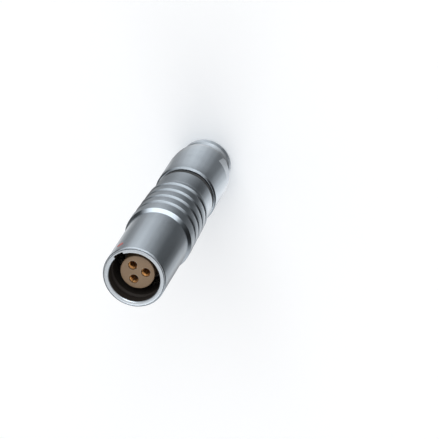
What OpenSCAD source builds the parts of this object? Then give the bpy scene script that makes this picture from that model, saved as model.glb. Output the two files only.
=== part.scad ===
// Free receptacle of a keyed push-pull circular connector: the socket half of
// an in-line pair. Everything is turned about Z. The mouth faces up and the
// part stands on the rear end of its collet nut.

/* [Overall] */
// Length from the rear end to the front face
total_len = 57; // [54:0.5:62]
// Outside radius of the barrel and of the collet nut
barrel_r = 6.5; // [6.3:0.1:6.8]

/* [Mouth] */
// Radius of the bore that takes the plug's nose
mouth_r = 5.3; // [5.2:0.05:5.4]
// Depth of that bore, down to the shoulder for the earthing crown
mouth_depth = 11; // [10.5:0.5:12]
// Width of the keyway
key_w = 2.2; // [1.6:0.1:2.6]
// Radius reached by the keyway's floor
key_r = 5.85; // [5.7:0.05:5.9]
// Depth of the latch groove's front edge behind the front face
latch_at = 2.2; // [2:0.1:2.4]
// Width of the latch groove
latch_w = 1.2; // [0.8:0.1:1.6]

/* [Contacts] */
// Radius of the circle that the contacts stand on
contact_pcr = 1.72; // [1.7:0.01:1.8]
// Radius of the hole in each contact, for a 1.3 mm pin
contact_bore_r = 0.68; // [0.66:0.01:0.7]
// Depth of the insulator's face behind the front face
insulator_at = 2.55; // [2.5:0.05:3]
// Radius of the insulator's front island
insulator_r = 3.56; // [3.5:0.02:3.6]

/* [Grip] */
// Depth of the grip's first flange behind the front face
grip_at = 17.3; // [17:0.1:18]
// Radius of the first grip ring
grip_front_r = 7.0; // [6.9:0.05:7.1]
// Radius of the last grip ring
grip_rear_r = 6.6; // [6.5:0.05:6.7]
// Number of grip rings
grip_n = 5; // [4:1:5]

/* [Collet nut] */
// Width across the two wrench flats
flats_w = 11.6; // [11.4:0.1:12.2]
// Turn of the flats from the keyway, in degrees
flats_turn = 71.5; // [0:0.5:180]
// Radius of the cable entry
cable_r = 3.7; // [3.4:0.1:3.8]
// Radius of the bead that the bend relief snaps over
bead_r = 5.35; // [5.2:0.05:5.4]

/* [Hidden] */
$fn = 96;

eps = 0.01;
key_angle = -90;             // the keyway and the dot face -Y
front = total_len;           // height of the front face
contact_n = 3;
dot_r = 0.75;
dot_at = 3.2;

// Fine groove round the front face, just inside the barrel's edge
lip_groove = 0.2;

// Grip: each ring is a land with a steep front flank and a short rear one
ring_pitch = 3.2;
land = 2.1;
first_land = 2.7;            // the first ring's land is longer than the others'
front_flank = 0.5;
rear_flank = 0.4;
groove_depth = 0.4;
rear_r = 6.2;                // plain part of the shell behind the grip
shell_end = 38.1;            // depth of the shell's rear end behind the front

// Inside of the shell
rear_bore_r = 5.55;
inner_r = 5.5;               // what is stacked in the rear bore

// Stack behind the mouth, as depths behind the front face
crown_t = 0.5;
carrier_at = mouth_depth + crown_t;
insulator_flange_at = 14;
insulator_flange_t = 2;
insulator_end = 18;
retainer_at = 22;
retainer_t = 2;
washer_at = retainer_at + retainer_t + 0.05;
washer_t = 0.8;
gasket_at = washer_at + washer_t;
gasket_t = 4.1;
collet_at = gasket_at + gasket_t;
collet_flange_t = 1.4;
collet_end = 45;

// Contacts
contact_at = insulator_at + 0.4;
contact_r = 0.97;
contact_depth = 7.7;
contact_lead = 0.45;          // depth of the funnel that leads a pin in
collar_at = 13;
collar_t = 1.6;
collar_r = 1.2;
cup_end = 22;
contact_hole_r = 1.0;

// Collet and nut
collet_r = 4.4;
collet_bore_r = 3.0;
cone_at = 40.5;
running = 0.05;              // clearance of the turning and sliding fits
spigot_at = collet_at + collet_flange_t + 0.15;
thread_core_r = 5.15;
thread_from = 32;
thread_to = 37;
seal_neck_r = 5.3;
nut_face = 39.6;             // depth of the nut's shoulder behind the front
flats_from = total_len - 7.9;
shoulder_end = total_len - 3.8;
neck_groove_r = 5;
bead_from = total_len - 1.7;

// A polygon's corners [x, y, r], each rounded to radius r by an arc
arc_steps = 5;
function unit(v) = v / norm(v);
function corner(a, b, c) =
    let (u = unit([a.x - b.x, a.y - b.y]), v = unit([c.x - b.x, c.y - b.y]))
    let (half = acos(u * v) / 2, along = b[2] / tan(half))
    let (p = [b.x, b.y] + u * along, q = [b.x, b.y] + v * along)
    let (m = [b.x, b.y] + unit(u + v) * b[2] / sin(half))
    let (turn = 180 - 2 * half, side = sign(cross(u, v)))
    b[2] == 0 ? [[b.x, b.y]] :
    [for (i = [0 : arc_steps])
        let (t = -side * turn * i / arc_steps, w = p - m)
        m + [w.x * cos(t) - w.y * sin(t), w.x * sin(t) + w.y * cos(t)]];
function rounded(path) =
    let (n = len(path))
    [for (i = [0 : n - 1])
        for (p = corner(path[(i + n - 1) % n], path[i], path[(i + 1) % n])) p];

// Turns a rounded outline of [radius, depth behind the front face, corner]
module turned(path) {
    points = [for (p = rounded(path)) [p.x, front - p.y]];
    rotate_extrude() polygon(points);
}

// A cylinder between two depths behind the front face
module bored(r, from, to) {
    translate([0, 0, front - to]) cylinder(r = r, h = to - from);
}

// A cone whose radius is r1 at the first depth and r2 at the second
module coned(r1, r2, from, to) {
    translate([0, 0, front - to]) cylinder(r1 = r2, r2 = r1, h = to - from);
}

// A bar of width w that leaves the axis towards -Y, between two depths
module slotted(w, from, to, reach) {
    translate([-w / 2, -reach, front - to]) cube([w, reach, to - from]);
}

// Grip ring number i: its front flank, its land and its rear flank
function ring_at(i) = grip_at + 1 + (i == 0 ? 0 : first_land - land + i * ring_pitch);
function ring_r(i) = grip_front_r - (grip_front_r - grip_rear_r) * i / (grip_n - 1);
function ring_land(i) = i == 0 ? first_land : land;
function ring_path(i) = [
    [ring_r(i), ring_at(i), 0.16],
    [ring_r(i), ring_at(i) + ring_land(i), 0.16],
    [ring_r(i + 1) - groove_depth, ring_at(i) + ring_land(i) + rear_flank, 0.15],
    [ring_r(i + 1) - groove_depth, ring_at(i + 1) - front_flank, 0.15]];

module shell() {
    last = grip_n - 1;
    color("silver") difference() {
        turned(concat(
            [[0, 0, 0], [barrel_r - 0.36, 0, 0.03], [barrel_r - 0.3, lip_groove, 0.02],
                [barrel_r - 0.22, lip_groove, 0.02], [barrel_r - 0.17, 0.06, 0.04],
                [barrel_r, 0.3, 0.1], [barrel_r, grip_at, 0.3]],
            [for (i = [0 : last - 1]) each ring_path(i)],
            [[ring_r(last), ring_at(last), 0.16],
                [ring_r(last), ring_at(last) + 1.1, 0.5],
                [rear_r, ring_at(last) + 1.7, 0.5],
                [rear_r, shell_end, 0.1], [0, shell_end, 0]]));
        bored(mouth_r, -1, mouth_depth + 1);
        coned(mouth_r + 0.16, mouth_r, -eps, 0.15);
        turned([[0, latch_at, 0], [mouth_r, latch_at, 0], [mouth_r + 0.4, latch_at + 0.1, 0.05],
            [mouth_r + 0.4, latch_at + latch_w - 0.4, 0.05], [mouth_r, latch_at + latch_w, 0],
            [0, latch_at + latch_w, 0]]);
        bored(rear_bore_r, mouth_depth, shell_end + 1);
        coned(rear_bore_r, rear_bore_r + 0.15, shell_end - 0.15, shell_end + eps);
        intersection() {
            slotted(key_w, -1, 8, key_r + 1);
            bored(key_r, -1, 8);
        }
        dot_seat(dot_r);
    }
}

// The round seat of the alignment dot, sunk into the barrel from outside
module dot_seat(r) {
    rotate(key_angle) translate([barrel_r - 0.3, 0, front - dot_at])
        rotate([0, 90, 0]) cylinder(r = r, h = 1, $fn = 48);
}

module alignment_dot() {
    color("crimson") intersection() {
        dot_seat(dot_r - 0.01);
        bored(barrel_r + 0.02, dot_at - 1, dot_at + 1);
    }
}

// Places its children at each contact, or at contact number i
module at_contact(i) {
    rotate(key_angle + i * 360 / contact_n) translate([contact_pcr, 0, 0]) children();
}

module insulator() {
    color("tan") difference() {
        turned([[0, insulator_at, 0], [insulator_r, insulator_at, 0.2],
            [insulator_r, insulator_flange_at, 0], [4.2, insulator_flange_at, 0.1],
            [4.2, insulator_flange_at + insulator_flange_t, 0.1],
            [insulator_r, insulator_flange_at + insulator_flange_t, 0],
            [insulator_r, insulator_end, 0.12], [0, insulator_end, 0]]);
        for (i = [0 : contact_n - 1]) at_contact(i) {
            bored(contact_hole_r, insulator_at - 1, insulator_end + 1, $fn = 48);
            bored(collar_r + 0.01, collar_at, insulator_end + 1, $fn = 48);
        }
        // Notch in the flange that sets the insulator's clocking
        difference() {
            slotted(1.2, insulator_flange_at - 1, insulator_flange_at + 3, 5);
            slotted(2, insulator_flange_at - 2, insulator_flange_at + 4, 3.75);
        }
    }
}

// One socket contact: a split tube, a collar and a solder cup
module contact() {
    color("gold") difference() {
        turned([[0, contact_at, 0], [contact_r, contact_at, 0.03],
            [contact_r, collar_at, 0], [collar_r, collar_at, 0],
            [collar_r, collar_at + collar_t, 0.08], [0.95, collar_at + collar_t, 0],
            [0.95, cup_end, 0.05], [0, cup_end, 0]], $fn = 48);
        bored(contact_bore_r, contact_at - 1, contact_at + contact_depth);
        coned(contact_r - 0.05, contact_bore_r, contact_at - eps, contact_at + contact_lead);
        // Slit that lets the two tines spring
        translate([-2, -0.09, front - contact_at - 6.5]) cube([4, 0.18, 7]);
        // Solder cup, with a scoop on its outer side
        bored(0.65, cup_end - 3.4, cup_end + 1);
        translate([0.2, -2, front - cup_end - 1]) cube([2, 4, 3.6]);
    }
}

module contact_1() {
    at_contact(0) contact();
}

module contact_2() {
    at_contact(1) contact();
}

module contact_3() {
    at_contact(2) contact();
}

// Slotted spring ring at the bottom of the mouth; it touches the plug's nose
module earthing_crown() {
    tip = 7;
    r = mouth_r - 0.08;
    color("lightgray") difference() {
        turned([[r - 0.24, tip + 0.5, 0.1], [r - 0.36, tip, 0.06], [r - 0.2, tip - 0.2, 0.04],
            [r, tip + 0.4, 0.3], [r, mouth_depth, 0], [inner_r, mouth_depth, 0],
            [inner_r, mouth_depth + crown_t, 0], [4.4, mouth_depth + crown_t, 0],
            [4.4, mouth_depth, 0.05], [r - 0.24, mouth_depth - 0.1, 0.1]]);
        for (a = [0 : 30 : 150]) rotate(a + 15)
            translate([-6, -0.25, front - 10.2]) cube([12, 0.5, 4]);
    }
}

// Both halves of the split carrier that grips the insulator's flange
module carrier() {
    color("lightgray") difference() {
        bored(inner_r, carrier_at, retainer_at);
        bored(insulator_r + 0.03, carrier_at - 1, insulator_end + 1);
        bored(4.22, insulator_flange_at, insulator_flange_at + insulator_flange_t);
        bored(4.6, insulator_end - 0.6, retainer_at + 1);
        // Outside relief between the two lands that fit the shell
        difference() {
            bored(inner_r + 1, carrier_at + 2.5, retainer_at - 2.5);
            bored(inner_r - 0.25, carrier_at, retainer_at);
        }
    }
}

// One half of the carrier: the side of the YZ plane that side's sign gives
module half(side) {
    cut = 0.03;
    intersection() {
        carrier();
        translate([side > 0 ? cut : -20, -20, 0]) cube([20 - cut, 40, front]);
    }
}

module carrier_half_left() {
    half(-1);
}

module carrier_half_right() {
    half(1);
}

// Threaded ring with two spanner slots that clamps the carriers forward
module retaining_ring() {
    color("lightgray") difference() {
        turned([[4.6, retainer_at, 0.1], [inner_r, retainer_at, 0.15],
            [inner_r, retainer_at + retainer_t, 0.15], [4.6, retainer_at + retainer_t, 0.1]]);
        translate([-10, -0.6, front - retainer_at - retainer_t - 1]) cube([20, 1.2, 1.8]);
    }
}

module clamp_washer() {
    color("lightgray") difference() {
        turned([[0, washer_at, 0], [5.4, washer_at, 0.1], [5.4, washer_at + washer_t, 0.1],
            [0, washer_at + washer_t, 0]]);
        bored(3.2, washer_at - 1, washer_at + washer_t + 1);
    }
}

// Rubber sleeve that is squeezed round the cable
module cable_gasket() {
    rib_n = 4;
    rib = gasket_t / rib_n;
    color("dimgray") turned(concat(
        [[5.3, gasket_at, 0.3], [5.3, gasket_at + gasket_t, 0.3]],
        [for (i = [rib_n : -1 : 1]) each [[3.2, gasket_at + i * rib, 0.05],
            [3.05, gasket_at + (i - 0.5) * rib, 0.2]]],
        [[3.2, gasket_at, 0.05]]));
}

// Split collet: the nut's cone closes its fingers on the cable
module collet() {
    finger_n = 4;
    color("lightgray") difference() {
        turned([[0, collet_at, 0], [5.4, collet_at, 0.12],
            [5.4, collet_at + collet_flange_t, 0.12], [collet_r, collet_at + collet_flange_t, 0],
            [collet_r, cone_at, 0.3], [cable_r - 0.1, collet_end, 0.1], [0, collet_end, 0]]);
        bored(collet_bore_r, collet_at - 1, collet_end + 1);
        // Teeth that bite the cable's jacket
        for (i = [0 : 5])
            turned([[0, 38.4 + i, 0], [collet_bore_r + 0.2, 38.4 + i, 0],
                [collet_bore_r + 0.2, 38.8 + i, 0], [0, 39.2 + i, 0]]);
        for (i = [0 : finger_n / 2 - 1]) rotate(45 + i * 360 / finger_n)
            translate([-6, -0.35, front - collet_end - 1]) cube([12, 0.7, collet_end + 1 - 33]);
    }
}

// Sealing ring between the shell's end and the nut's shoulder
module nut_seal() {
    color("black") turned([[seal_neck_r, shell_end + 0.1, 0.1], [6.05, shell_end + 0.1, 0.45],
        [6.05, nut_face, 0.45], [seal_neck_r, nut_face, 0.1]]);
}

// Collet nut: threaded spigot, body with two flats, and a beaded neck
module collet_nut() {
    spigot_r = rear_bore_r - running;
    color("silver") difference() {
        turned([[0, spigot_at, 0], [spigot_r, spigot_at, 0.2], [spigot_r, thread_from - 0.3, 0],
            [thread_core_r, thread_from, 0], [thread_core_r, thread_to, 0],
            [spigot_r, thread_to + 0.3, 0], [spigot_r, shell_end - 0.3, 0],
            [seal_neck_r, shell_end, 0], [seal_neck_r, nut_face, 0.05],
            [6.2, nut_face, 0.05], [barrel_r, nut_face + 0.4, 0.1],
            [barrel_r, flats_from, 5], [barrel_r - 0.24, shoulder_end - 1.4, 3],
            [barrel_r - 0.6, shoulder_end, 0.15], [neck_groove_r, shoulder_end + 0.1, 0.15],
            [neck_groove_r, bead_from, 0.1], [bead_r, bead_from + 0.35, 0.1],
            [bead_r, total_len, 0.3], [0, total_len, 0]]);
        bored(collet_r + running, spigot_at - 1, cone_at);
        coned(collet_r + running, cable_r, cone_at - eps, collet_end);
        bored(cable_r, collet_end - 1, total_len + 1);
        coned(cable_r, cable_r + 0.3, total_len - 0.3, total_len + eps);
        for (side = [0, 180]) rotate(key_angle + flats_turn + side)
            translate([flats_w / 2, -8, front - shoulder_end - 2])
                cube([4, 16, shoulder_end + 2 - flats_from]);
    }
}

shell();
alignment_dot();
insulator();
contact_1();
contact_2();
contact_3();
earthing_crown();
carrier_half_left();
carrier_half_right();
retaining_ring();
clamp_washer();
cable_gasket();
collet();
nut_seal();
collet_nut();
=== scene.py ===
import math
import bpy
from mathutils import Matrix, Vector


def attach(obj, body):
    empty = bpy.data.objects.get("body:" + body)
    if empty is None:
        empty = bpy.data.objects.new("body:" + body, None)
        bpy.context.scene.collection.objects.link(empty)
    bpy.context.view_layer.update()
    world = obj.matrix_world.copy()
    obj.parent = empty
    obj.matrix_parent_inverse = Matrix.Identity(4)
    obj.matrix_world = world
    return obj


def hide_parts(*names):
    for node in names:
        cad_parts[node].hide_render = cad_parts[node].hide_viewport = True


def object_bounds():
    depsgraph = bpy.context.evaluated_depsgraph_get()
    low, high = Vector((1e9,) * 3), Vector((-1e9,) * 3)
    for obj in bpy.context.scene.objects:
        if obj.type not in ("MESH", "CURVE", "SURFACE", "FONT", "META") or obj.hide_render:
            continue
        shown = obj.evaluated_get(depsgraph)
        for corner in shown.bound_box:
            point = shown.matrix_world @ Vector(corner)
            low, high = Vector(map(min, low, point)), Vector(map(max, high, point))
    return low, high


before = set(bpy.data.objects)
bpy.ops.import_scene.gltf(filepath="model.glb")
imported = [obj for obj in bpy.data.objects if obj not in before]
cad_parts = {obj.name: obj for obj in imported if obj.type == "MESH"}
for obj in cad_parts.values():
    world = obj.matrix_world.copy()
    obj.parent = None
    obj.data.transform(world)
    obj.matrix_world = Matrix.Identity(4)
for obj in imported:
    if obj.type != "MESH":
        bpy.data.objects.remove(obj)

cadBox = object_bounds()
mm = 0.001
front = cadBox[1].z         # height of the mouth's face
print("frame loaded")


# helpers for node trees

def feed(tree, socket, value):
    # a socket takes a link from another socket, or a plain value
    if isinstance(value, bpy.types.NodeSocket):
        tree.links.new(value, socket)
    else:
        socket.default_value = value


def addNode(tree, kind, options=None, inputs=None):
    node = tree.nodes.new(kind)
    for name, value in (options or {}).items():
        setattr(node, name, value)
    for name, value in (inputs or {}).items():
        feed(tree, node.inputs[name], value)
    return node


def mathOf(tree, operation, *terms):
    options = {"operation": operation}
    return addNode(tree, "ShaderNodeMath", options, dict(enumerate(terms))).outputs[0]


def measure(tree, operation, *vectors):
    # a length, a distance or a dot product
    options = {"operation": operation}
    node = addNode(tree, "ShaderNodeVectorMath", options, dict(enumerate(vectors)))
    return node.outputs["Value"]


def vectorOf(tree, x=0.0, y=0.0, z=0.0):
    return addNode(tree, "ShaderNodeCombineXYZ", None, {"X": x, "Y": y, "Z": z}).outputs[0]


def heightAndRadius(tree):
    # height above the foot and distance from the axis
    place = addNode(tree, "ShaderNodeTexCoord").outputs["Object"]
    parts = addNode(tree, "ShaderNodeSeparateXYZ", None, {0: place}).outputs
    return parts["Z"], measure(tree, "LENGTH", vectorOf(tree, parts["X"], parts["Y"]))


def remap(tree, value, low, high, toLow=0.0, toHigh=1.0):
    inputs = {"Value": value, "From Min": low, "From Max": high, "To Min": toLow, "To Max": toHigh}
    return addNode(tree, "ShaderNodeMapRange", None, inputs).outputs["Result"]


def mixColour(tree, factor, a, b):
    node = addNode(tree, "ShaderNodeMix", {"data_type": "RGBA"})
    feed(tree, node.inputs["Factor"], factor)
    feed(tree, node.inputs["A"], a)
    feed(tree, node.inputs["B"], b)
    return node.outputs["Result"]


def tint(tree, colour, mask, share, other):
    # moves a colour towards another one, by the share where the mask is 1
    return mixColour(tree, mathOf(tree, "MULTIPLY", mask, share), colour, other)


def rampOf(tree, value, stops):
    # stops: place from 0 to 1, grey
    node = addNode(tree, "ShaderNodeValToRGB", None, {"Fac": value})
    node.color_ramp.interpolation = "EASE"
    elements = node.color_ramp.elements
    for i, (place, grey) in enumerate(stops):
        stop = elements[i] if i < 2 else elements.new(place)
        stop.position = place
        stop.color = (grey, grey, grey, 1)
    return node.outputs["Color"]


def newGroup(name, kind, inputs, outputs):
    group = bpy.data.node_groups.new(name, kind)
    sockets = [("INPUT",) + entry for entry in inputs]
    sockets += [("OUTPUT",) + entry + (None,) for entry in outputs]
    for side, label, valueKind, value in sockets:
        socketKind = "NodeSocket" + valueKind
        socket = group.interface.new_socket(label, in_out=side, socket_type=socketKind)
        if value is not None:
            socket.default_value = value
    start = group.nodes.new("NodeGroupInput")
    end = group.nodes.new("NodeGroupOutput")
    return group, start.outputs, end.inputs


def useGroup(tree, group, inputs=None):
    return addNode(tree, "ShaderNodeGroup", {"node_tree": group}, inputs).outputs


def newMaterial(name):
    mat = bpy.data.materials.new(name)
    mat.use_nodes = True
    return mat, mat.node_tree, mat.node_tree.nodes["Principled BSDF"]


# camera: the connector seen from in front of its mouth, leaning to the left

cameraSet = {
    "distance": 0.9,
    "azimuth": -62.5,       # degrees round the part, 0 looks along +Y
    "elevation": 61.25,
    "roll": 148.83,         # the mouth points down and to the left in the frame
    "lens": 372,
    "sensor": 36,
    "nearest": 0.05,
    "farthest": 20,
    "aim": (-18.46 * mm, 0.02 * mm, -8.98 * mm),    # from the middle of the mouth
}


def viewAxes(azimuth, elevation, roll):
    # the camera's right, up and back directions
    a, e = math.radians(azimuth), math.radians(elevation)
    back = Vector((math.sin(a) * math.cos(e), -math.cos(a) * math.cos(e), math.sin(e)))
    right = Vector((0, 0, 1)).cross(back).normalized()
    turn = Matrix.Rotation(math.radians(-roll), 3, back)
    return turn @ right, turn @ back.cross(right), back


def addCamera(s):
    mouth = Vector((0, 0, front))
    right, up, back = viewAxes(s["azimuth"], s["elevation"], s["roll"])
    data = bpy.data.cameras.new("camera")
    data.sensor_width = s["sensor"]
    data.lens = s["lens"]
    data.clip_start, data.clip_end = s["nearest"], s["farthest"]
    camera = bpy.data.objects.new("camera", data)
    bpy.context.scene.collection.objects.link(camera)
    turned = Matrix((right, up, back)).transposed().to_4x4()
    place = mouth + Vector(s["aim"]) + back * s["distance"]
    camera.matrix_world = Matrix.Translation(place) @ turned
    bpy.context.scene.camera = camera


# studio: a pale floor and a soft sky. Painted reflections: for glossy rays alone, the floor
# glows in rings of pale and dark cards round the part's foot, and to the camera stays plain

studioSet = {
    "floorSize": 3.0,
    "floorGap": 0.02 * mm,      # the part stands just clear of the floor
    "floorColour": (0.95, 0.945, 0.94, 1),
    "floorRoughness": 0.9,
    "floorGlow": (0.066, 0.108, 0.147, 1),      # lifts the floor to white for the camera
    "cardsTurn": 170.8,         # where the rings of cards start, in degrees
    # the painted reflection cards of each ring, from the axis outwards: place from 0 to 1 round
    # it, grey
    "nearPaintedCards": [
        (0.05, 0.8), (0.2, 0.75), (0.26, 1.08), (0.32, 0.94), (0.365, 0.67), (0.41, 0.4),
        (0.45, 0.22), (0.49, 0.22), (0.53, 0.37), (0.572, 0.55), (0.614, 0.75), (0.655, 0.86),
        (0.7, 0.75), (0.74, 0.57), (0.785, 0.43), (0.825, 0.38), (0.865, 0.62), (0.91, 0.88)],
    "rearPaintedCards": [
        (0.06, 0.4), (0.154, 0.62), (0.2, 0.78), (0.25, 1.08), (0.296, 1.07), (0.343, 0.79),
        (0.39, 0.37), (0.437, 0.12), (0.484, 0.09), (0.531, 0.14), (0.579, 0.23), (0.626, 0.37),
        (0.675, 0.44), (0.77, 0.31), (0.815, 0.25), (0.86, 0.31), (0.91, 0.28), (0.955, 0.08)],
    "gripPaintedCards": [
        (0.1, 0.45), (0.178, 0.54), (0.225, 0.71), (0.272, 0.63), (0.319, 0.48), (0.366, 0.3),
        (0.414, 0.17), (0.461, 0.11), (0.508, 0.13), (0.555, 0.27), (0.602, 0.4), (0.65, 0.47),
        (0.697, 0.49), (0.744, 0.39), (0.791, 0.38), (0.838, 0.34), (0.885, 0.25), (0.932, 0.09)],
    "midPaintedCards": [
        (0.02, 0.78), (0.08, 0.28), (0.13, 0.3), (0.18, 0.46), (0.225, 0.68), (0.275, 0.52),
        (0.335, 0.17), (0.385, 0.1), (0.46, 0.12), (0.53, 0.22), (0.58, 0.38), (0.63, 0.6),
        (0.68, 0.75), (0.73, 0.64), (0.785, 0.38), (0.83, 0.31), (0.88, 0.45), (0.94, 0.78)],
    "farPaintedCards": [
        (0.06, 0.4), (0.2, 0.7), (0.244, 0.6), (0.279, 0.34), (0.31, 0.05), (0.36, 0.02),
        (0.4, 0.03), (0.46, 0.09), (0.49, 0.35), (0.52, 1.35), (0.57, 1.75), (0.69, 1.8),
        (0.725, 1.35), (0.756, 0.5), (0.785, 0.08), (0.83, 0.06), (0.87, 0.12), (0.95, 0.15)],
    # the low sky has a ring of its own
    "skyCards": [
        (0.1, 0.7), (0.21, 0.7), (0.28, 0.5), (0.316, 0.18), (0.354, 0.05), (0.392, 0.03),
        (0.432, 0.03), (0.47, 0.09), (0.512, 0.45), (0.555, 0.88), (0.598, 1.05), (0.64, 0.97),
        (0.678, 0.82), (0.717, 0.6), (0.756, 0.37), (0.794, 0.24), (0.88, 0.25)],
    # how far the rings' middle lies from the axis towards the camera, and the
    # distances from it where each ring turns into the next
    "ringShift": 2.8 * mm,
    "ringEdges": [(13.1 * mm, 13.9 * mm), (18.2 * mm, 19.2 * mm), (25 * mm, 26.2 * mm),
                  (42 * mm, 52 * mm)],
    "skyTop": (0.865, 0.82, 0.785, 1),
    "skyRise": (0.25, 0.85),    # the low sky turns into the top between these heights
    "boxes": [
        # name, degrees from the camera's side, elevation, distance, size, power
        ("keyBox", 28, 52, 0.6, 0.35, 0.9),
        ("fillBox", -150, 40, 0.6, 0.4, 0.6),
    ],
}


def cardRing(name, stops, turn):
    # a ring of cards: a colour by direction, for the floor's painted reflections or for the sky
    inputs, outputs = [("Vector", "Vector", None)], [("Color", "Color")]
    group, start, end = newGroup(name, "ShaderNodeTree", inputs, outputs)
    turned = addNode(group, "ShaderNodeMapping", None,
                     {"Vector": start["Vector"], "Rotation": (0, 0, math.radians(turn))})
    angle = addNode(group, "ShaderNodeTexGradient", {"gradient_type": "RADIAL"},
                    {"Vector": turned.outputs[0]})
    feed(group, end["Color"], rampOf(group, angle.outputs["Fac"], stops))
    return group


def floorMaterial(s, rings, azimuth):
    mat, tree, shader = newMaterial("paleFloor")
    shader.inputs["Base Color"].default_value = s["floorColour"]
    shader.inputs["Roughness"].default_value = s["floorRoughness"]
    path = addNode(tree, "ShaderNodeLightPath").outputs
    glow = addNode(tree, "ShaderNodeEmission", None,
                   {"Color": s["floorGlow"], "Strength": path["Is Camera Ray"]})
    lit = addNode(tree, "ShaderNodeAddShader", None, {0: shader.outputs[0], 1: glow.outputs[0]})

    # painted reflections: glossy rays see the rings of cards glowing here, instead of the lit
    # floor
    place = addNode(tree, "ShaderNodeTexCoord").outputs["Object"]
    middle = viewAxes(azimuth, 0, 0)[2] * s["ringShift"]
    away = measure(tree, "DISTANCE", place, middle)
    colour = useGroup(tree, rings[0], {"Vector": place})["Color"]
    for ring, edge in zip(rings[1:], s["ringEdges"]):
        outer = useGroup(tree, ring, {"Vector": place})["Color"]
        colour = mixColour(tree, remap(tree, away, *edge), colour, outer)
    paintedReflections = addNode(tree, "ShaderNodeEmission", None, {"Color": colour})
    mix = addNode(tree, "ShaderNodeMixShader", None,
                  {"Fac": path["Is Glossy Ray"], 1: lit.outputs[0], 2: paintedReflections.outputs[0]})
    feed(tree, tree.nodes["Material Output"].inputs["Surface"], mix.outputs[0])
    return mat


def addFloor(s, rings, azimuth):
    half = s["floorSize"] / 2
    mesh = bpy.data.meshes.new("floor")
    corners = [(-half, -half, 0), (half, -half, 0), (half, half, 0), (-half, half, 0)]
    mesh.from_pydata(corners, [], [(0, 1, 2, 3)])
    floor = bpy.data.objects.new("floor", mesh)
    bpy.context.scene.collection.objects.link(floor)
    floor.location.z = cadBox[0].z - s["floorGap"]
    floor.data.materials.append(floorMaterial(s, rings, azimuth))


def addSky(s, ring):
    world = bpy.data.worlds.new("studio")
    bpy.context.scene.world = world
    world.use_nodes = True
    tree = world.node_tree
    direction = addNode(tree, "ShaderNodeTexCoord").outputs["Generated"]
    height = addNode(tree, "ShaderNodeSeparateXYZ", None, {0: direction}).outputs["Z"]
    low = useGroup(tree, ring, {"Vector": direction})["Color"]
    colour = mixColour(tree, remap(tree, height, *s["skyRise"]), low, s["skyTop"])
    seen = addNode(tree, "ShaderNodeLightPath").outputs["Is Camera Ray"]
    white = (1, 1, 1, 1)
    feed(tree, tree.nodes["Background"].inputs["Color"], mixColour(tree, seen, colour, white))


def addBoxes(s, azimuth):
    middle = (cadBox[0] + cadBox[1]) / 2
    for name, aside, elevation, distance, size, power in s["boxes"]:
        toward = viewAxes(azimuth + aside, elevation, 0)[2]
        data = bpy.data.lights.new(name, "AREA")
        data.size = size
        data.energy = power
        lamp = bpy.data.objects.new(name, data)
        bpy.context.scene.collection.objects.link(lamp)
        turned = toward.to_track_quat("Z", "Y").to_matrix().to_4x4()
        lamp.matrix_world = Matrix.Translation(middle + toward * distance) @ turned
        lamp.visible_camera = False


# shader groups that several finishes use

def makeTurningMarks():
    # fine rings left by the lathe, round the sides and across the end faces
    inputs = [("Lines", "Float", 3000.0), ("Wander", "Float", 0.3)]
    outputs = [("Height", "Float"), ("Shade", "Float")]
    group, start, end = newGroup("turningMarks", "ShaderNodeTree", inputs, outputs)
    along = mathOf(group, "ADD", *heightAndRadius(group))
    coarse = mathOf(group, "MULTIPLY", start["Lines"], 0.2)     # bands five lines wide
    lines = addNode(group, "ShaderNodeTexNoise", {"noise_dimensions": "1D"},
                    {"W": along, "Scale": start["Lines"], "Detail": 2.0, "Roughness": 0.6})
    bands = addNode(group, "ShaderNodeTexNoise", {"noise_dimensions": "1D"},
                    {"W": along, "Scale": coarse, "Detail": 1.0})
    feed(group, end["Height"], lines.outputs["Fac"])
    aboutZero = mathOf(group, "SUBTRACT", bands.outputs["Fac"], 0.5)
    shade = mathOf(group, "MULTIPLY", aboutZero, start["Wander"])
    feed(group, end["Shade"], mathOf(group, "ADD", 1.0, shade))
    return group


def makeSmudges():
    # broad soft patches, as from handling: their size in millimetres, and
    # where the noise begins to show and where it is full
    inputs = [("Size", "Float", 4.0), ("Low", "Float", 0.4), ("High", "Float", 0.7)]
    group, start, end = newGroup("smudges", "ShaderNodeTree", inputs, [("Mask", "Float")])
    place = addNode(group, "ShaderNodeTexCoord").outputs["Object"]
    scale = mathOf(group, "DIVIDE", 1 / mm, start["Size"])
    noise = addNode(group, "ShaderNodeTexNoise", None,
                    {"Vector": place, "Scale": scale, "Detail": 5.0, "Roughness": 0.62})
    feed(group, end["Mask"], remap(group, noise.outputs["Fac"], start["Low"], start["High"]))
    return group


def makeEdgeWear():
    # where the surface turns sharply, within a width in millimetres
    inputs = [("Width", "Float", 0.1)]
    group, start, end = newGroup("edgeWear", "ShaderNodeTree", inputs, [("Mask", "Float")])
    width = mathOf(group, "MULTIPLY", start["Width"], mm)
    soft = addNode(group, "ShaderNodeBevel", {"samples": 6}, {"Radius": width}).outputs["Normal"]
    hard = addNode(group, "ShaderNodeNewGeometry").outputs["Normal"]
    likeness = measure(group, "DOT_PRODUCT", soft, hard)
    none, full = 0.995, 0.9         # how alike the two normals are without wear and with it
    feed(group, end["Mask"], remap(group, likeness, none, full))
    return group


def makePaintedShade():
    # painted shade in grooves, corners and deep hollows: 1 where nearby walls close off the
    # surroundings, looked for within a reach in millimetres
    inputs = [("Reach", "Float", 0.4), ("Open", "Float", 0.85), ("Shut", "Float", 0.4)]
    group, start, end = newGroup("paintedShade", "ShaderNodeTree", inputs, [("Mask", "Float")])
    reach = mathOf(group, "MULTIPLY", start["Reach"], mm)
    shade = addNode(group, "ShaderNodeAmbientOcclusion", {"samples": 8}, {"Distance": reach})
    feed(group, end["Mask"], remap(group, shade.outputs["AO"], start["Open"], start["Shut"]))
    return group


# finishes. A "share" is how far a mask takes the colour towards the next one,
# and "roughness" is given for where the broad mask is 0 and where it is 1

def maskOf(tree, groups, name, values):
    return useGroup(tree, groups[name], values)["Mask"]


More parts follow.
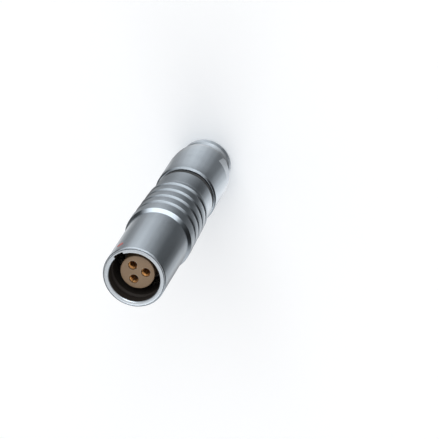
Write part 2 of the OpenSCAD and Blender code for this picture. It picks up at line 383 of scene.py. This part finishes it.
def bumpInto(tree, shader, height, distance):
    bump = addNode(tree, "ShaderNodeBump", None, {"Height": height, "Distance": distance})
    feed(tree, shader.inputs["Normal"], bump.outputs[0])


def roughnessBy(tree, mask, s):
    return remap(tree, mask, 0.0, 1.0, *s["roughness"])


platingSet = {
    "edge": (0.76, 0.79, 0.83, 1),      # rubbed bright
    # the colour of the painted shade in grooves, joints and hollows
    "paintedShade": (0.032, 0.034, 0.036, 1),
}


def platedColour(tree, shader, s, groups):
    # what each plating has: haze, edges rubbed bright and the lathe's marks
    marks = useGroup(tree, groups["marks"], s["marks"])
    haze = maskOf(tree, groups, "smudges", s["haze"])
    colour = tint(tree, s["plain"], haze, s["hazeShare"], s["hazy"])
    if "edges" in s:
        edge = maskOf(tree, groups, "edges", s["edges"])
        colour = tint(tree, colour, edge, s["edgeShare"], platingSet["edge"])
    bumpInto(tree, shader, marks["Height"], s["markDepth"])
    return colour, mathOf(tree, "MULTIPLY", roughnessBy(tree, haze, s), marks["Shade"])


chromeSet = {
    "plain": (0.57, 0.643, 0.715, 1),
    "hazy": (0.475, 0.538, 0.6, 1),
    "haze": {"Size": 6.0, "Low": 0.42, "High": 0.8},
    "hazeShare": 0.45,
    "edges": {"Width": 0.09},
    "edgeShare": 0.5,
    "marks": {"Lines": 2600.0, "Wander": 0.1},
    "markDepth": 0.0007 * mm,
    "roughness": (0.19, 0.27),
    "milled": (0.82, 0.89, 0.97, 1),        # the cutter leaves the wrench flats brighter
    "milledShare": 0.85,
    # painted shade in the grooves, the joints and the corners
    "grooveShade": {"Reach": 0.22, "Open": 0.85, "Shut": 0.45},
    "grooveShadeShare": 0.85,
    "bore": (0.02, 0.016, 0.013, 1),        # painted shade: the mouth's inside is coloured near black, and made rough
    "boreRougher": 0.5,
    "boreR": 5.88 * mm,
    "boreFrom": 0.14 * mm,      # depths behind the mouth's face
    "boreTo": 11.2 * mm,
}


def onFlats(tree, s):
    # 1 on the nut's two wrench flats, found by place and by the way they face
    turn = math.radians(s["flatsTurn"])
    across = (math.cos(turn), math.sin(turn), 0)
    coords = addNode(tree, "ShaderNodeTexCoord").outputs
    reach, facing = (mathOf(tree, "ABSOLUTE", measure(tree, "DOT_PRODUCT", coords[name], across))
                     for name in ("Object", "Normal"))
    level = mathOf(tree, "COMPARE", reach, s["flatsWidth"] / 2 * mm, s["flatsSlack"])
    return mathOf(tree, "MULTIPLY", level, mathOf(tree, "GREATER_THAN", facing, s["flatsFacing"]))


def insideBore(tree, s):
    height, radius = heightAndRadius(tree)
    inside = mathOf(tree, "LESS_THAN", radius, s["boreR"])
    behindLip = mathOf(tree, "LESS_THAN", height, front - s["boreFrom"])
    aboveBottom = mathOf(tree, "GREATER_THAN", height, front - s["boreTo"])
    return mathOf(tree, "MULTIPLY", mathOf(tree, "MULTIPLY", inside, behindLip), aboveBottom)


def makeChrome(s, groups, nut):
    mat, tree, shader = newMaterial("satinChrome")
    colour, rough = platedColour(tree, shader, s, groups)
    colour = tint(tree, colour, onFlats(tree, nut), s["milledShare"], s["milled"])
    # painted shade: darker where nearby walls close in
    grooveShade = maskOf(tree, groups, "paintedShade", s["grooveShade"])
    colour = tint(tree, colour, grooveShade, s["grooveShadeShare"], platingSet["paintedShade"])
    # painted shade: inside the mouth the chrome turns near black and dull, and rougher
    inBore = insideBore(tree, s)
    rougher = mathOf(tree, "MULTIPLY", inBore, s["boreRougher"])
    feed(tree, shader.inputs["Base Color"], mixColour(tree, inBore, colour, s["bore"]))
    feed(tree, shader.inputs["Metallic"], mathOf(tree, "SUBTRACT", 1.0, inBore))
    feed(tree, shader.inputs["Roughness"], mathOf(tree, "ADD", rough, rougher))
    return mat


nickelSet = {
    "plain": (0.60, 0.57, 0.51, 1),
    "hazy": (0.44, 0.41, 0.36, 1),
    "haze": {"Size": 2.5, "Low": 0.4, "High": 0.75},
    "hazeShare": 1.0,
    "edges": {"Width": 0.08},
    "edgeShare": 0.4,
    "marks": {"Lines": 4000.0, "Wander": 0.2},
    "markDepth": 0.0008 * mm,
    "roughness": (0.22, 0.36),
    "deep": {"Reach": 2.5, "Open": 0.9, "Shut": 0.5},
    "deepShare": 0.3,           # painted shade darkens it where it lies deep inside, and most of all at the bottom of the mouth
    "crownShare": 0.97,         # and most of all at the bottom of the mouth
}


def makeNickel(name, s, groups, share):
    mat, tree, shader = newMaterial(name)
    colour, rough = platedColour(tree, shader, s, groups)
    # painted shade, darker the deeper inside the part
    deep = maskOf(tree, groups, "paintedShade", s["deep"])
    colour = tint(tree, colour, deep, share, platingSet["paintedShade"])
    feed(tree, shader.inputs["Base Color"], colour)
    shader.inputs["Metallic"].default_value = 1.0
    feed(tree, shader.inputs["Roughness"], rough)
    return mat


goldSet = {
    "plain": (0.96, 0.70, 0.42, 1),
    "hazy": (0.66, 0.42, 0.22, 1),
    "haze": {"Size": 1.2, "Low": 0.4, "High": 0.7},
    "hazeShare": 1.0,
    "marks": {"Lines": 5000.0, "Wander": 0.2},
    "markDepth": 0.0006 * mm,
    "roughness": (0.3, 0.42),
}


def makeGold(s, groups):
    mat, tree, shader = newMaterial("goldPlate")
    colour, rough = platedColour(tree, shader, s, groups)
    feed(tree, shader.inputs["Base Color"], colour)
    shader.inputs["Metallic"].default_value = 1.0
    feed(tree, shader.inputs["Roughness"], rough)
    return mat


plasticSet = {
    "plain": (0.23, 0.155, 0.092, 1),
    "darker": 0.82,             # what the clouds leave of the colour
    "clouds": {"Size": 2.2, "Low": 0.35, "High": 0.7},
    "cloudShare": 0.6,
    "rim": (0.34, 0.28, 0.22, 1),
    "edges": {"Width": 0.16},
    "flecks": {"Size": 0.35, "Low": 0.35, "High": 0.75},
    "fleckShare": 0.2,
    "fleckDepth": 0.004 * mm,
    "roughness": (0.42, 0.56),
}


def makePlastic(s, groups):
    mat, tree, shader = newMaterial("tanPlastic")
    flecks = maskOf(tree, groups, "smudges", s["flecks"])
    clouds = maskOf(tree, groups, "smudges", s["clouds"])
    edge = maskOf(tree, groups, "edges", s["edges"])
    cloudy = tuple(c * s["darker"] for c in s["plain"][:3]) + (1,)
    colour = tint(tree, s["plain"], clouds, s["cloudShare"], cloudy)
    colour = tint(tree, colour, flecks, s["fleckShare"], s["rim"])
    feed(tree, shader.inputs["Base Color"], mixColour(tree, edge, colour, s["rim"]))
    feed(tree, shader.inputs["Roughness"], roughnessBy(tree, clouds, s))
    bumpInto(tree, shader, flecks, s["fleckDepth"])
    return mat


enamelSet = {
    "plain": (0.46, 0.08, 0.08, 1),
    "faded": (0.56, 0.24, 0.24, 1),
    "fading": {"Size": 0.5, "Low": 0.35, "High": 0.75},
    "roughness": (0.3, 0.5),
    "depth": 0.004 * mm,
}


def makeEnamel(s, groups):
    mat, tree, shader = newMaterial("redEnamel")
    faded = maskOf(tree, groups, "smudges", s["fading"])
    feed(tree, shader.inputs["Base Color"], mixColour(tree, faded, s["plain"], s["faded"]))
    feed(tree, shader.inputs["Roughness"], roughnessBy(tree, faded, s))
    bumpInto(tree, shader, faded, s["depth"])
    return mat


rubberSet = {
    "greyRubber": (0.12, 0.12, 0.12, 1),
    "blackRubber": (0.03, 0.033, 0.036, 1),
    "dust": {"Size": 0.8, "Low": 0.4, "High": 0.8},
    "dustScale": 1.6,           # dust makes the colour this many times as bright
    "dustLift": 0.02,           # and this much brighter still
    "roughness": (0.55, 0.75),
    "depth": 0.006 * mm,
}


def makeRubber(name, s, groups):
    mat, tree, shader = newMaterial(name)
    dusty = maskOf(tree, groups, "smudges", s["dust"])
    paler = tuple(c * s["dustScale"] + s["dustLift"] for c in s[name][:3]) + (1,)
    feed(tree, shader.inputs["Base Color"], mixColour(tree, dusty, s[name], paler))
    feed(tree, shader.inputs["Roughness"], roughnessBy(tree, dusty, s))
    bumpInto(tree, shader, dusty, s["depth"])
    return mat


def dress(mat, *nodes):
    for node in nodes:
        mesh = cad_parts[node].data
        mesh.materials.clear()
        mesh.materials.append(mat)


# turned pieces: an outline of [radius, depth behind the mouth's face, corner]
# in millimetres is rounded at its corners and carried round the axis

sharpAngle = 32             # degrees from which an edge stays sharp
pathR = 1 * mm              # radius of the circle that an outline is carried along


def geometryTree(name, inputs):
    sockets = [("Geometry", "Geometry", None)] + inputs + [("Material", "Material", None)]
    return newGroup(name, "GeometryNodeTree", sockets, [("Geometry", "Geometry")])


def floatInputs(*labels):
    return [(label, "Float", 1.0) for label in labels]


def closeTree(tree, start, end, geometry):
    # smooth faces with sharp edges kept, instances made real, one material
    angle = addNode(tree, "GeometryNodeInputMeshEdgeAngle").outputs["Unsigned Angle"]
    isSoft = mathOf(tree, "LESS_THAN", angle, math.radians(sharpAngle))
    smooth = addNode(tree, "GeometryNodeSetShadeSmooth", {"domain": "EDGE"},
                     {"Geometry": geometry, "Shade Smooth": isSoft})
    real = addNode(tree, "GeometryNodeRealizeInstances", None, {"Geometry": smooth.outputs[0]})
    done = addNode(tree, "GeometryNodeSetMaterial", None,
                   {"Geometry": real.outputs[0], "Material": start["Material"]})
    feed(tree, end["Geometry"], done.outputs[0])


def moved(tree, geometry, offset, turn=(0, 0, 0)):
    inputs = {"Geometry": geometry, "Translation": offset, "Rotation": turn}
    return addNode(tree, "GeometryNodeTransform", None, inputs).outputs[0]


def sweep(tree, curve, profile, inputs=None):
    inputs = {"Curve": curve, "Profile Curve": profile, **(inputs or {})}
    return addNode(tree, "GeometryNodeCurveToMesh", None, inputs).outputs[0]


def booleanOf(tree, operation, pieces, body=None):
    # cuts the pieces out of the body, or keeps what they share
    node = addNode(tree, "GeometryNodeMeshBoolean", {"operation": operation, "solver": "EXACT"})
    if body is not None:
        feed(tree, node.inputs["Mesh 1"], body)
    for piece in pieces:
        feed(tree, node.inputs["Mesh 2"], piece)
    return node.outputs["Mesh"]


def makeTurnedTree():
    inputs = [("Segments", "Int", 160), ("Corner Steps", "Int", 4), ("Front", "Float", 0.05)]
    tree, start, end = geometryTree("turnedPart", inputs)
    curve = addNode(tree, "GeometryNodeMeshToCurve", None, {"Mesh": start["Geometry"]}).outputs[0]
    corner = addNode(tree, "GeometryNodeInputNamedAttribute", None, {"Name": "corner"})
    fillet = addNode(tree, "GeometryNodeFilletCurve", {"mode": "POLY"}, {
        "Curve": curve, "Radius": corner.outputs["Attribute"], "Limit Radius": True,
        "Count": start["Corner Steps"]})
    path = addNode(tree, "GeometryNodeCurvePrimitiveCircle", None,
                   {"Resolution": start["Segments"], "Radius": pathR}).outputs[0]
    # the path has a radius of its own, so the outline moves in by as much
    inward = addNode(tree, "GeometryNodeSetPosition", None,
                     {"Geometry": fillet.outputs[0], "Offset": (-pathR, 0, 0)}).outputs[0]
    swept = sweep(tree, path, inward)
    closeTree(tree, start, end, moved(tree, swept, vectorOf(tree, z=start["Front"])))
    return tree


def outlineObject(name, outline):
    mesh = bpy.data.meshes.new(name)
    count = len(outline)
    mesh.from_pydata([(r * mm, depth * mm, 0) for r, depth, corner in outline],
                     [(i, (i + 1) % count) for i in range(count)], [])
    corners = mesh.attributes.new("corner", "FLOAT", "POINT")
    for i, (r, depth, corner) in enumerate(outline):
        corners.data[i].value = corner * mm
    obj = bpy.data.objects.new(name, mesh)
    bpy.context.scene.collection.objects.link(obj)
    return obj


def addTree(obj, tree, values):
    mod = obj.modifiers.new(tree.name, "NODES")
    mod.node_group = tree
    for item in tree.interface.items_tree:
        if item.in_out == "INPUT" and item.name in values:
            mod[item.identifier] = values[item.name]


def bakeMesh(obj):
    # the modifiers' result becomes the object's own plain mesh
    weighted = obj.modifiers.new("evenNormals", "WEIGHTED_NORMAL")
    weighted.keep_sharp = True
    bpy.context.view_layer.update()
    graph = bpy.context.evaluated_depsgraph_get()
    mesh = bpy.data.meshes.new_from_object(obj.evaluated_get(graph))
    obj.modifiers.clear()
    obj.data = mesh
    mesh.name = obj.name


# shell: mouth, barrel, five grip rings and the plain part behind them,
# in millimetres, with depths from the mouth's face

shellSet = {
    "segments": 192,
    "mouthR": 5.3,
    "mouthDepth": 11,
    "mouthEdge": 0.15,
    "lip": [(5.46, 0, 0.03), (6.12, 0, 0.02), (6.17, 0.2, 0.02), (6.29, 0.2, 0.02),
            (6.35, 0.06, 0.03), (6.5, 0.3, 0.1)],
    # from the bottom outwards: how far past the mouth's radius, depth, corner
    "latchGroove": [(0, 3.4, 0.03), (0.4, 3.0, 0.05), (0.4, 2.3, 0.05), (0, 2.2, 0.02)],
    "barrelR": 6.5,
    "gripAt": 17.3,
    "gripRise": 1,          # the slope from the barrel up to the first ring
    "ringCount": 5,
    "ringPitch": 3.2,
    "ringFrontR": 7.0,      # the rings get smaller towards the rear
    "ringRearR": 6.6,
    "land": 2.1,
    "firstLand": 2.7,
    "lastLand": 1.1,
    "frontFlank": 0.5,
    "rearFlank": 0.4,
    "grooveDepth": 0.4,
    "landCorner": 0.16,
    "grooveCorner": 0.15,
    "gripCorner": 0.3,
    "rearCorner": 0.5,
    "rearAt": 1.7,          # where the plain part starts, from the last ring's front
    "rearR": 6.2,
    "end": 38.1,
    "endEdge": 0.15,
    "rearBoreR": 5.55,
    "keyWidth": 2.2,
    "keyReach": 5.85,
    "keyDepth": 8,
    "dotR": 0.75,
    "dotAt": 3.2,
    "dotFloor": 6.2,
}


def gripOutline(s):
    points = [(s["barrelR"], s["gripAt"], s["gripCorner"])]
    shrink = (s["ringFrontR"] - s["ringRearR"]) / (s["ringCount"] - 1)
    start = s["gripAt"] + s["gripRise"]
    for i in range(s["ringCount"]):
        r = s["ringFrontR"] - shrink * i
        if i > 0:
            floor = r - s["grooveDepth"]
            points += [(floor, points[-1][1] + s["rearFlank"], s["grooveCorner"]),
                       (floor, start - s["frontFlank"], s["grooveCorner"])]
        points.append((r, start, s["landCorner"]))
        if i < s["ringCount"] - 1:
            land = s["firstLand"] if i == 0 else s["land"]
            points.append((r, start + land, s["landCorner"]))
            start += land - s["land"] + s["ringPitch"]
    return points + [(s["ringRearR"], start + s["lastLand"], s["rearCorner"]),
                     (s["rearR"], start + s["rearAt"], s["rearCorner"])]


def shellOutline(s):
    bore, end, edge = s["rearBoreR"], s["end"], s["endEdge"]
    rear = [(s["rearR"], end, 0.1), (bore + edge, end, 0.03), (bore, end - edge, 0)]
    r = s["mouthR"]
    bottom = [(bore, s["mouthDepth"], 0), (r, s["mouthDepth"], 0.04)]
    groove = [(r + out, depth, corner) for out, depth, corner in s["latchGroove"]]
    return s["lip"] + gripOutline(s) + rear + bottom + groove + [(r, s["mouthEdge"], 0.03)]


def makeMouthCuts():
    # keyway and dot seat, both on the -Y side
    inputs = floatInputs("Key Width", "Key Reach", "Key Depth", "Dot Radius", "Dot Depth",
                         "Dot Floor", "Front")
    inputs += [("Key Segments", "Int", 128), ("Dot Segments", "Int", 48)]
    tree, start, end = geometryTree("mouthCuts", inputs)
    spare = 1 * mm          # how far the cutters stand out of the metal
    past = 1.2              # the bar's length, as a share of the keyway's reach
    twice = mathOf(tree, "MULTIPLY", start["Key Depth"], 2.0)
    top = vectorOf(tree, z=start["Front"])

    # the keyway is where a bar and a round plug overlap
    length = mathOf(tree, "MULTIPLY", start["Key Reach"], past)
    size = vectorOf(tree, start["Key Width"], length, mathOf(tree, "ADD", twice, spare))
    bar = addNode(tree, "GeometryNodeMeshCube", None, {"Size": size}).outputs[0]
    aside = mathOf(tree, "MULTIPLY", start["Key Reach"], -past / 2)
    bar = moved(tree, bar, vectorOf(tree, y=aside, z=start["Front"]))
    plug = addNode(tree, "GeometryNodeMeshCylinder", None, {
        "Vertices": start["Key Segments"], "Radius": start["Key Reach"], "Depth": twice})
    plug = moved(tree, plug.outputs["Mesh"], top)
    key = booleanOf(tree, "INTERSECT", [bar, plug])

    # the dot's seat is a pin's end, pushed in from the side
    pin = addNode(tree, "GeometryNodeMeshCylinder", None, {
        "Vertices": start["Dot Segments"], "Radius": start["Dot Radius"], "Depth": 2 * spare})
    outward = mathOf(tree, "MULTIPLY", mathOf(tree, "ADD", start["Dot Floor"], spare), -1.0)
    height = mathOf(tree, "SUBTRACT", start["Front"], start["Dot Depth"])
    seat = vectorOf(tree, y=outward, z=height)
    pin = moved(tree, pin.outputs["Mesh"], seat, (math.pi / 2, 0, 0))
    closeTree(tree, start, end, booleanOf(tree, "DIFFERENCE", [key, pin], start["Geometry"]))
    return tree


def buildShell(s, trees, mat):
    shell = outlineObject("shellTurned", shellOutline(s))
    addTree(shell, trees["turned"], {"Segments": s["segments"], "Front": front, "Material": mat})
    addTree(shell, trees["mouthCuts"], {
        "Key Width": s["keyWidth"] * mm, "Key Reach": s["keyReach"] * mm,
        "Key Depth": s["keyDepth"] * mm, "Dot Radius": s["dotR"] * mm,
        "Dot Depth": s["dotAt"] * mm, "Dot Floor": s["dotFloor"] * mm,
        "Front": front, "Material": mat})
    bakeMesh(shell)
    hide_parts("shell")
    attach(shell, "shell")
    return shell


# collet nut: threaded spigot, body with two wrench flats, neck and bead

nutSet = {
    "segments": 192,
    "outline": [
        (4.45, 30.5, 0), (5.5, 30.5, 0.2), (5.5, 31.7, 0), (5.15, 32, 0), (5.15, 37, 0),
        (5.5, 37.3, 0), (5.5, 37.8, 0), (5.3, 38.1, 0), (5.3, 39.6, 0.05), (6.2, 39.6, 0.05),
        (6.5, 40, 0.1), (6.5, 49.1, 5), (6.26, 51.8, 3), (5.9, 53.2, 0.15), (5, 53.3, 0.15),
        (5, 54.72, 0.03), (5.14, 54.84, 0.03), (5.14, 55, 0.02), (4.95, 55.04, 0.02),
        (4.95, 55.32, 0.02), (5.35, 55.65, 0.07), (5.35, 57, 0.3),
        (4, 57, 0), (3.7, 56.7, 0), (3.7, 45, 0), (4.45, 40.5, 0)],
    "flatsWidth": 11.6,
    "flatsFrom": 49.1,
    "flatsTo": 55.2,
    "flatsTurn": -18.5,     # degrees from +X
    "flatsSlack": 0.02 * mm,        # how near a flat's plane its finish starts
    "flatsFacing": 0.98,
    "threadCoreR": 5.15,
    "threadR": 5.48,
    "threadFrom": 32.2,
    "threadTo": 36.8,
    "threadPitch": 0.75,
}


def makeFlatCuts():
    inputs = floatInputs("Width", "From", "To", "Turn", "Front")
    tree, start, end = geometryTree("wrenchFlats", inputs)
    thick, wide = 4 * mm, 16 * mm           # the block that cuts a flat
    length = mathOf(tree, "SUBTRACT", start["To"], start["From"])
    size = vectorOf(tree, thick, wide, length)
    block = addNode(tree, "GeometryNodeMeshCube", None, {"Size": size}).outputs[0]
    half = mathOf(tree, "MULTIPLY", start["Width"], 0.5)
    aside = mathOf(tree, "ADD", half, thick / 2)
    depth = mathOf(tree, "MULTIPLY", mathOf(tree, "ADD", start["From"], start["To"]), 0.5)
    height = mathOf(tree, "SUBTRACT", start["Front"], depth)
    block = moved(tree, block, vectorOf(tree, aside, z=height))
    # one block at each side, carried there as instances on two points
    ends = addNode(tree, "GeometryNodeMeshLine", None, {"Count": 2, "Offset": (0, 0, 0)})
    number = addNode(tree, "GeometryNodeInputIndex").outputs[0]
    angle = mathOf(tree, "ADD", start["Turn"], mathOf(tree, "MULTIPLY", number, math.pi))
    both = addNode(tree, "GeometryNodeInstanceOnPoints", None, {
        "Points": ends.outputs[0], "Instance": block, "Rotation": vectorOf(tree, z=angle)})
    both = addNode(tree, "GeometryNodeRealizeInstances", None, {"Geometry": both.outputs[0]})
    cut = booleanOf(tree, "DIFFERENCE", [both.outputs[0]], start["Geometry"])
    closeTree(tree, start, end, cut)
    return tree


def makeThreadTree():
    # a ridge that follows a helix and runs out at both ends
    inputs = [("Core Radius", "Float", 5 * mm), ("Ridge", "Float", 0.3 * mm),
              ("Pitch", "Float", 0.75 * mm), ("Length", "Float", 5 * mm),
              ("Top", "Float", 0.02), ("Steps", "Int", 72), ("Corners", "Int", 4)]
    tree, start, end = geometryTree("helixThread", inputs)
    steepness, thinnest = 18.0, 0.05        # of the run-out, as shares of length and ridge
    turns = mathOf(tree, "DIVIDE", start["Length"], start["Pitch"])
    helix = addNode(tree, "GeometryNodeCurveSpiral", None, {
        "Resolution": start["Steps"], "Rotations": turns, "Start Radius": start["Core Radius"],
        "End Radius": start["Core Radius"], "Height": start["Length"]}).outputs[0]
    upright = addNode(tree, "GeometryNodeSetCurveNormal", {"mode": "Z_UP"}, {"Curve": helix})
    along = addNode(tree, "GeometryNodeSplineParameter").outputs["Factor"]
    toEnd = mathOf(tree, "MINIMUM", along, mathOf(tree, "SUBTRACT", 1.0, along))
    rise = mathOf(tree, "MINIMUM", mathOf(tree, "MULTIPLY", toEnd, steepness), 1.0)
    runOut = addNode(tree, "GeometryNodeSetCurveRadius", None, {
        "Curve": upright.outputs[0], "Radius": mathOf(tree, "MAXIMUM", rise, thinnest)})
    ridge = addNode(tree, "GeometryNodeCurvePrimitiveCircle", None,
                    {"Resolution": start["Corners"], "Radius": start["Ridge"]})
    caps = {"Scale": 1.0, "Fill Caps": True}
    swept = sweep(tree, runOut.outputs[0], ridge.outputs[0], caps)
    low = mathOf(tree, "SUBTRACT", start["Top"], start["Length"])
    closeTree(tree, start, end, moved(tree, swept, vectorOf(tree, z=low)))
    return tree


def buildNut(s, trees, mat):
    nut = outlineObject("colletNutTurned", s["outline"])
    addTree(nut, trees["turned"], {"Segments": s["segments"], "Front": front, "Material": mat})
    addTree(nut, trees["flats"], {
        "Width": s["flatsWidth"] * mm, "From": s["flatsFrom"] * mm, "To": s["flatsTo"] * mm,
        "Turn": math.radians(s["flatsTurn"]), "Front": front, "Material": mat})
    bakeMesh(nut)
    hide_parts("collet_nut")
    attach(nut, "nut")
    return nut


def buildThread(s, trees, mat):
    # its outline only carries the tree, which makes all of the ridge
    thread = outlineObject("nutThread", [(0, 0, 0), (1, 0, 0)])
    addTree(thread, trees["thread"], {
        "Core Radius": s["threadCoreR"] * mm, "Ridge": (s["threadR"] - s["threadCoreR"]) * mm,
        "Pitch": s["threadPitch"] * mm, "Length": (s["threadTo"] - s["threadFrom"]) * mm,
        "Top": front - s["threadFrom"] * mm, "Material": mat})
    bakeMesh(thread)
    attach(thread, "nut")
    return thread


addCamera(cameraSet)
ringNames = ("nearPaintedCards", "rearPaintedCards", "gripPaintedCards", "midPaintedCards", "farPaintedCards", "skyCards")
rings = [cardRing(name, studioSet[name], studioSet["cardsTurn"]) for name in ringNames]
addFloor(studioSet, rings[:-1], cameraSet["azimuth"])
addSky(studioSet, rings[-1])
addBoxes(studioSet, cameraSet["azimuth"])
print("studio ready")

groups = {"marks": makeTurningMarks(), "smudges": makeSmudges(), "edges": makeEdgeWear(),
          "paintedShade": makePaintedShade()}
chrome = makeChrome(chromeSet, groups, nutSet)
dress(chrome, "shell", "collet_nut")
dress(makeNickel("nickelPlate", nickelSet, groups, nickelSet["deepShare"]),
      "carrier_half_left", "carrier_half_right", "retaining_ring", "clamp_washer", "collet")
# the crown at the bottom of the mouth gets the strongest painted shade
dress(makeNickel("crownNickel", nickelSet, groups, nickelSet["crownShare"]), "earthing_crown")
dress(makeGold(goldSet, groups), "contact_1", "contact_2", "contact_3")
dress(makePlastic(plasticSet, groups), "insulator")
dress(makeEnamel(enamelSet, groups), "alignment_dot")
dress(makeRubber("greyRubber", rubberSet, groups), "cable_gasket")
dress(makeRubber("blackRubber", rubberSet, groups), "nut_seal")
print("finishes ready")

trees = {"turned": makeTurnedTree(), "mouthCuts": makeMouthCuts(), "flats": makeFlatCuts(),
         "thread": makeThreadTree()}
shell = buildShell(shellSet, trees, chrome)
print("shell turned:", len(shell.data.polygons), "faces")
nut = buildNut(nutSet, trees, chrome)
thread = buildThread(nutSet, trees, chrome)
print("collet nut turned:", len(nut.data.polygons), "faces, thread", len(thread.data.polygons))

bpy.context.scene.view_settings.view_transform = "Standard"
